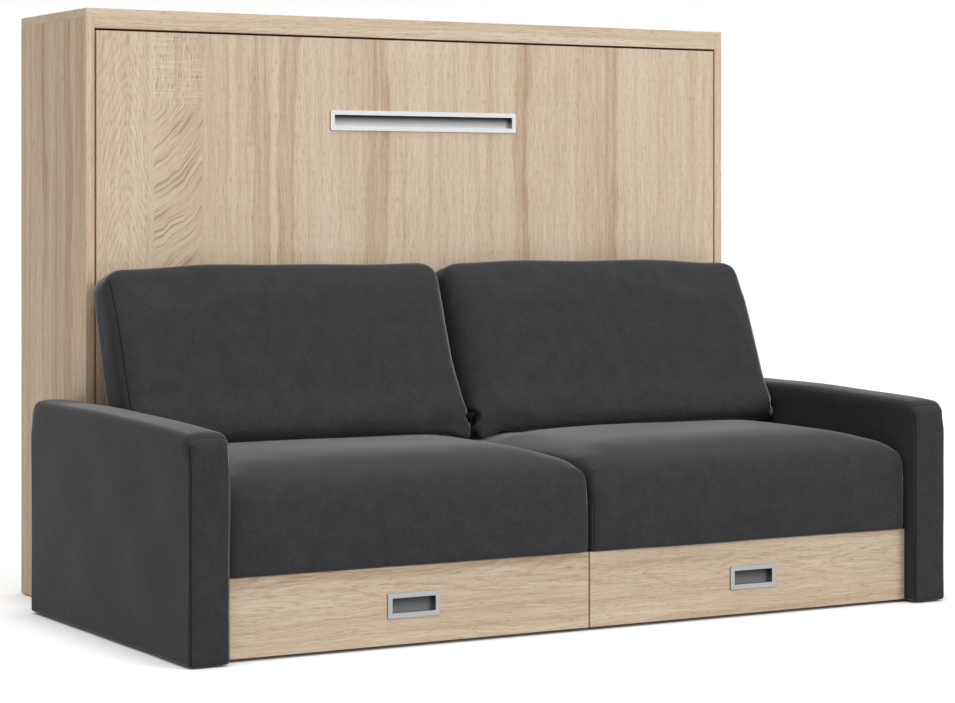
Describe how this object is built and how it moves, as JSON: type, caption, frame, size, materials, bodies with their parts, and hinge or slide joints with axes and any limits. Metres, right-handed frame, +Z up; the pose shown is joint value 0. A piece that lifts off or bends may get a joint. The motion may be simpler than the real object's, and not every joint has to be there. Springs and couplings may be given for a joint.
{
  "type": "wall bed with sofa",
  "caption": "Wall bed in an upright oak cabinet that folds down sideways over a sofa with slab arms, folding back cushions and drawers.",
  "frame": {"origin": "on the floor, under the middle of the whole piece's box", "axes": "+X along the width to the right seen from the front, +Y from the sofa to the wall, +Z up"},
  "size_m": [2.3446, 1.45, 1.67],
  "materials": {
    "oak_decor": "light oak grain decor on board, satin",
    "plain_timber": "plain birch plywood and board",
    "sofa_cloth": "dense dark anthracite upholstery cloth with a fine nap",
    "ticking": "quilted off-white mattress cover",
    "webbing": "black woven strap",
    "black_plastic": "moulded, matt",
    "buffer_rubber": "matt",
    "brushed_aluminium": "brushed along its length",
    "zinc_steel": "zinc plated, rolled",
    "bright_steel": "ground and plated",
    "black_paint": "black satin paint",
    "grey_steel": "grey powder coat"
  },
  "bodies": {
    "cabinet": {"cabinet_side_left": "oak_decor", "cabinet_side_right": "oak_decor", "cabinet_top": "oak_decor", "cabinet_top_rail": "oak_decor", "cabinet_lower_panel": "oak_decor", "cabinet_back": "plain_timber", "cabinet_rear_rail": "plain_timber", "cabinet_base_rail": "plain_timber", "floor_glides": "black_plastic", "pivot_plates": "grey_steel", "pivot_bushes": "black_plastic", "bed_stops": "buffer_rubber", "gas_spring_studs": "bright_steel", "arm_left": "sofa_cloth", "arm_right": "sofa_cloth", "arm_frame_left": "plain_timber", "arm_frame_right": "plain_timber", "base_side_left": "plain_timber", "base_side_right": "plain_timber", "base_divider": "plain_timber", "base_back": "plain_timber", "seat_deck": "plain_timber", "seat_cushion_left": "sofa_cloth", "seat_cushion_right": "sofa_cloth", "back_pivot_bushes": "black_plastic", "centre_hinge_bracket": "grey_steel", "runner_rails": "zinc_steel", "arm_bolts": "grey_steel", "sofa_spacers": "plain_timber"},
    "bed": {"bed_panel": "oak_decor", "bed_side_rail_left": "grey_steel", "bed_side_rail_right": "grey_steel", "bed_long_rails": "grey_steel", "bed_centre_rail": "grey_steel", "bed_slats": "plain_timber", "slat_holders": "black_plastic", "mattress": "ticking", "mattress_straps": "webbing", "bed_pivot_pins": "bright_steel", "bed_pull": "brushed_aluminium"},
    "back_rest_left": {"back_cushion_left": "sofa_cloth", "back_board_left": "plain_timber", "back_hinge_left": "grey_steel"},
    "back_rest_right": {"back_cushion_right": "sofa_cloth", "back_board_right": "plain_timber", "back_hinge_right": "grey_steel"},
    "drawer_left": {"drawer_front_left": "oak_decor", "drawer_box_left": "plain_timber", "drawer_bottom_left": "plain_timber", "drawer_pull_left": "brushed_aluminium", "runner_slides_left": "zinc_steel"},
    "drawer_right": {"drawer_front_right": "oak_decor", "drawer_box_right": "plain_timber", "drawer_bottom_right": "plain_timber", "drawer_pull_right": "brushed_aluminium", "runner_slides_right": "zinc_steel"},
    "gas_tube_left": {"gas_spring_tube_left": "black_paint"},
    "gas_tube_right": {"gas_spring_tube_right": "black_paint"},
    "gas_rod_left": {"gas_spring_rod_left": "bright_steel"},
    "gas_rod_right": {"gas_spring_rod_right": "bright_steel"}
  },
  "joints": [
    {"name": "bed_fold", "type": "hinge", "parent": "cabinet", "child": "bed", "pos_m": [0, 0.26, 0.678], "axis": [1, 0, 0], "range_deg": [0, 90]},
    {"name": "back_rest_left_fold", "type": "hinge", "parent": "cabinet", "child": "back_rest_left", "pos_m": [-0.53, -0.03873, 0.525], "axis": [1, 0, 0], "range_deg": [0, 110.1]},
    {"name": "drawer_left_slide", "type": "slide", "parent": "cabinet", "child": "drawer_left", "axis": [0, -1, 0], "range_m": [0, 0.45]},
    {"name": "gas_spring_left_swing", "type": "hinge", "parent": "cabinet", "child": "gas_tube_left", "pos_m": [-1.022, 0.455, 1.003], "axis": [1, 0, 0], "range_deg": [0, 13.43]},
    {"name": "gas_spring_left_stroke", "type": "slide", "parent": "gas_tube_left", "child": "gas_rod_left", "axis": [0, 0.3663, 0.9305], "range_m": [0, 0.1906]},
    {"name": "back_rest_right_fold", "type": "hinge", "parent": "cabinet", "child": "back_rest_right", "pos_m": [0.53, -0.03873, 0.525], "axis": [1, 0, 0], "range_deg": [0, 110.1]},
    {"name": "drawer_right_slide", "type": "slide", "parent": "cabinet", "child": "drawer_right", "axis": [0, -1, 0], "range_m": [0, 0.45]},
    {"name": "gas_spring_right_swing", "type": "hinge", "parent": "cabinet", "child": "gas_tube_right", "pos_m": [1.022, 0.455, 1.003], "axis": [1, 0, 0], "range_deg": [0, 13.43]},
    {"name": "gas_spring_right_stroke", "type": "slide", "parent": "gas_tube_right", "child": "gas_rod_right", "axis": [0, 0.3663, 0.9305], "range_m": [0, 0.1906]}
  ],
  "couplings": [
    {"joint": "back_rest_left_fold", "follows": "bed_fold", "ratio": 1.2222},
    {"joint": "gas_spring_left_swing", "follows": "bed_fold", "ratio": 0.14899},
    {"joint": "gas_spring_left_stroke", "follows": "bed_fold", "m_per_rad": 0.12115},
    {"joint": "back_rest_right_fold", "follows": "bed_fold", "ratio": 1.2222},
    {"joint": "gas_spring_right_swing", "follows": "bed_fold", "ratio": 0.14899},
    {"joint": "gas_spring_right_stroke", "follows": "bed_fold", "m_per_rad": 0.12115}
  ]
}
